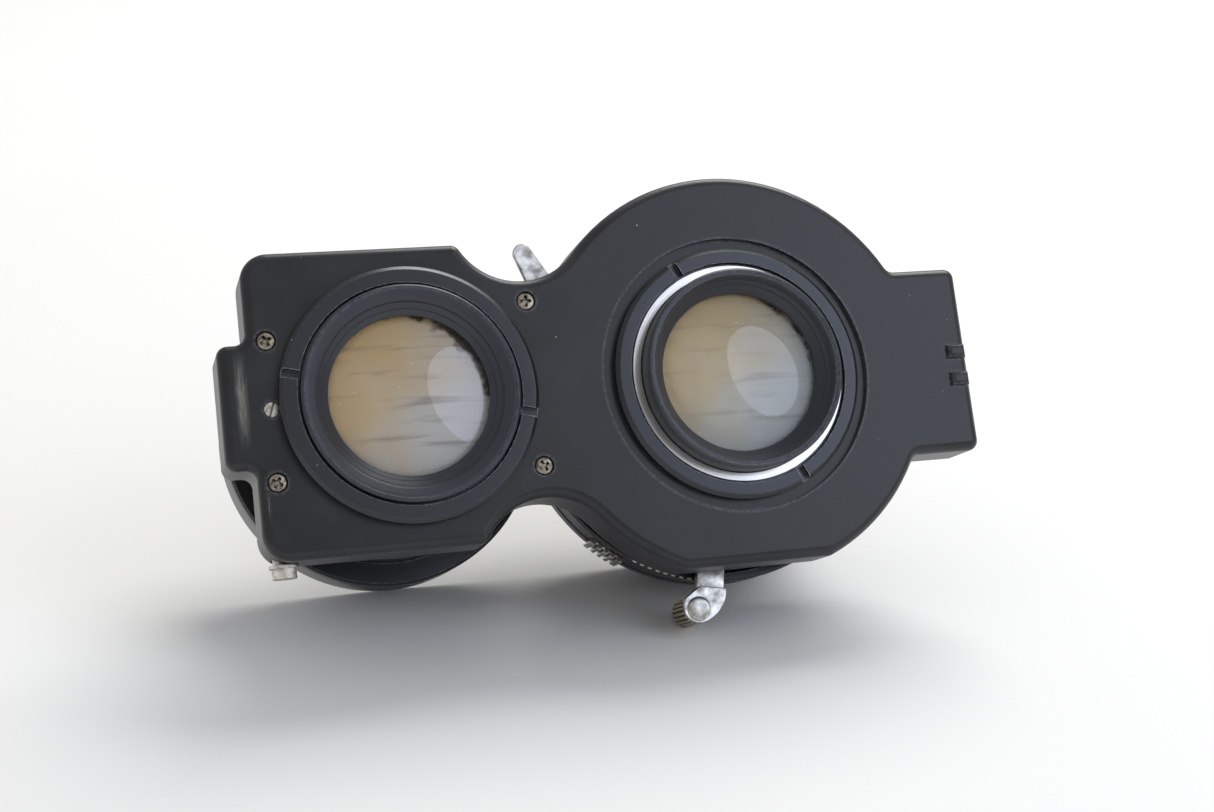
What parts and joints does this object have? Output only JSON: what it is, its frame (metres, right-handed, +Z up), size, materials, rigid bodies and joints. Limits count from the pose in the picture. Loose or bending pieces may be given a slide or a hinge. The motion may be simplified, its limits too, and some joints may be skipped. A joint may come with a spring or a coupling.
{
  "type": "twin-lens camera lens unit",
  "caption": "Interchangeable viewing and taking lens pair with leaf shutter on one black lens board, for a medium-format twin-lens reflex camera.",
  "frame": {"origin": "centre of the resting footprint's bounding box, on the surface the unit lies on", "axes": "+X along the line of the two lens axes, from the viewing lens to the taking lens; +Z up; rear face of the board towards -Y, tilted up"},
  "size_m": [0.115, 0.058, 0.0658],
  "materials": {
    "board_paint": "semi-matt black stove enamel",
    "black_anodised": "turned, satin black anodised",
    "coated_glass": "polished, amber and blue coated",
    "satin_aluminium": "turned, bare",
    "nickel": "nickel plated",
    "satin_chrome": "satin chrome plated",
    "knurled_brass": "knurled, worn nickel over brass",
    "steel_ring": "ground",
    "shutter_steel": "lapped bright",
    "blackened_steel": "chemically blackened",
    "spring_steel": "drawn wire",
    "insulator": "moulded",
    "contact_brass": "turned"
  },
  "bodies": {
    "lens_unit": {"board_screws": "nickel", "front_plate": "board_paint", "iris_blade_pins": "nickel", "iris_plate": "satin_aluminium", "lens_board": "board_paint", "rear_flange_ring": "satin_aluminium", "release_pin": "nickel", "release_spring": "spring_steel", "ring_set_screw": "nickel", "selector_pin": "nickel", "shutter_blade_pins": "nickel", "shutter_cover": "black_anodised", "shutter_housing": "satin_aluminium", "shutter_plate": "satin_aluminium", "sync_terminal_insulator": "insulator", "sync_terminal_pin": "contact_brass", "sync_terminal_shell": "nickel", "taking_barrel": "black_anodised", "taking_cell_tube": "black_anodised", "taking_front_bezel": "black_anodised", "taking_front_element": "coated_glass", "taking_inner_element": "coated_glass", "taking_middle_element": "coated_glass", "taking_rear_cell": "black_anodised", "taking_rear_element": "coated_glass", "taking_retaining_ring": "black_anodised", "taking_spacer": "black_anodised", "taking_trim_ring": "black_anodised", "viewing_barrel": "black_anodised", "viewing_cell_tube": "black_anodised", "viewing_front_bezel": "black_anodised", "viewing_front_element": "coated_glass", "viewing_lock_ring": "black_anodised", "viewing_middle_element": "coated_glass", "viewing_rear_cell": "black_anodised", "viewing_rear_element": "coated_glass", "viewing_retaining_ring": "black_anodised", "viewing_trim_ring": "black_anodised"},
    "speed_control": {"speed_ring": "black_anodised", "speed_ring_grips": "satin_chrome"},
    "aperture_control": {"aperture_ring": "steel_ring", "aperture_lever": "satin_chrome", "aperture_knob": "knurled_brass", "aperture_rivet": "nickel"},
    "cocking_control": {"cocking_ring": "steel_ring", "cocking_lever": "satin_chrome"},
    "release_control": {"release_lever": "satin_chrome"},
    "sync_control": {"sync_selector": "satin_chrome"},
    "shutter_drive": {"blade_drive_ring": "steel_ring"},
    "leaf_1": {"shutter_blade_1": "shutter_steel"},
    "iris_1": {"iris_blade_1": "blackened_steel"},
    "leaf_2": {"shutter_blade_2": "shutter_steel"},
    "iris_2": {"iris_blade_2": "blackened_steel"},
    "leaf_3": {"shutter_blade_3": "shutter_steel"},
    "iris_3": {"iris_blade_3": "blackened_steel"},
    "leaf_4": {"shutter_blade_4": "shutter_steel"},
    "iris_4": {"iris_blade_4": "blackened_steel"},
    "leaf_5": {"shutter_blade_5": "shutter_steel"},
    "iris_5": {"iris_blade_5": "blackened_steel"}
  },
  "joints": [
    {"name": "speed_turn", "type": "hinge", "parent": "lens_unit", "child": "speed_control", "pos_m": [0.01925, -0.01512, 0.03979], "axis": [0, -0.8626, 0.5059], "range_deg": [-30, 95]},
    {"name": "aperture_turn", "type": "hinge", "parent": "lens_unit", "child": "aperture_control", "pos_m": [0.01925, -0.01512, 0.03979], "axis": [0, -0.8626, 0.5059], "range_deg": [0, 62]},
    {"name": "cocking_turn", "type": "hinge", "parent": "lens_unit", "child": "cocking_control", "pos_m": [0.01925, -0.01512, 0.03979], "axis": [0, -0.8626, 0.5059], "range_deg": [-55, 0], "stiffness_Nm_per_rad": 0.01, "springref_deg": 17.19},
    {"name": "release_turn", "type": "hinge", "parent": "lens_unit", "child": "release_control", "pos_m": [0.04438, -0.00144, 0.03742], "axis": [0, -0.8626, 0.5059], "range_deg": [0, 10], "stiffness_Nm_per_rad": 0.003, "springref_deg": -17.19},
    {"name": "sync_turn", "type": "hinge", "parent": "lens_unit", "child": "sync_control", "pos_m": [0.04386, -0.00748, 0.02712], "axis": [0, -0.8626, 0.5059], "range_deg": [0, 10]},
    {"name": "shutter_open", "type": "hinge", "parent": "lens_unit", "child": "shutter_drive", "pos_m": [0.01925, -0.01512, 0.03979], "axis": [0, -0.8626, 0.5059], "range_deg": [-12.5, 0], "stiffness_Nm_per_rad": 0.004, "springref_deg": 8.59},
    {"name": "leaf_1_swing", "type": "hinge", "parent": "lens_unit", "child": "leaf_1", "pos_m": [0.04072, 0.00308, 0.04019], "axis": [0, -0.8626, 0.5059], "range_deg": [-38, 0.5]},
    {"name": "leaf_2_swing", "type": "hinge", "parent": "lens_unit", "child": "leaf_2", "pos_m": [0.01679, 0.01007, 0.0521], "axis": [0, -0.8626, 0.5059], "range_deg": [-38, 0.5]},
    {"name": "leaf_3_swing", "type": "hinge", "parent": "lens_unit", "child": "leaf_3", "pos_m": [-0.00374, 0.00072, 0.03616], "axis": [0, -0.8626, 0.5059], "range_deg": [-38, 0.5]},
    {"name": "leaf_4_swing", "type": "hinge", "parent": "lens_unit", "child": "leaf_4", "pos_m": [0.0075, -0.01205, 0.01439], "axis": [0, -0.8626, 0.5059], "range_deg": [-38, 0.5]},
    {"name": "leaf_5_swing", "type": "hinge", "parent": "lens_unit", "child": "leaf_5", "pos_m": [0.03497, -0.01059, 0.01688], "axis": [0, -0.8626, 0.5059], "range_deg": [-38, 0.5]},
    {"name": "iris_1_swing", "type": "hinge", "parent": "lens_unit", "child": "iris_1", "pos_m": [0.04072, 0.0061, 0.03842], "axis": [0, -0.8626, 0.5059], "range_deg": [-0.5, 38]},
    {"name": "iris_2_swing", "type": "hinge", "parent": "lens_unit", "child": "iris_2", "pos_m": [0.01679, 0.01309, 0.05033], "axis": [0, -0.8626, 0.5059], "range_deg": [-0.5, 38]},
    {"name": "iris_3_swing", "type": "hinge", "parent": "lens_unit", "child": "iris_3", "pos_m": [-0.00374, 0.00374, 0.03439], "axis": [0, -0.8626, 0.5059], "range_deg": [-0.5, 38]},
    {"name": "iris_4_swing", "type": "hinge", "parent": "lens_unit", "child": "iris_4", "pos_m": [0.0075, -0.00903, 0.01262], "axis": [0, -0.8626, 0.5059], "range_deg": [-0.5, 38]},
    {"name": "iris_5_swing", "type": "hinge", "parent": "lens_unit", "child": "iris_5", "pos_m": [0.03497, -0.00757, 0.01511], "axis": [0, -0.8626, 0.5059], "range_deg": [-0.5, 38]}
  ],
  "couplings": [
    {"joint": "leaf_1_swing", "follows": "shutter_open", "ratio": 3},
    {"joint": "leaf_2_swing", "follows": "shutter_open", "ratio": 3},
    {"joint": "leaf_3_swing", "follows": "shutter_open", "ratio": 3},
    {"joint": "leaf_4_swing", "follows": "shutter_open", "ratio": 3},
    {"joint": "leaf_5_swing", "follows": "shutter_open", "ratio": 3},
    {"joint": "iris_1_swing", "follows": "aperture_turn", "ratio": 0.6},
    {"joint": "iris_2_swing", "follows": "aperture_turn", "ratio": 0.6},
    {"joint": "iris_3_swing", "follows": "aperture_turn", "ratio": 0.6},
    {"joint": "iris_4_swing", "follows": "aperture_turn", "ratio": 0.6},
    {"joint": "iris_5_swing", "follows": "aperture_turn", "ratio": 0.6}
  ]
}
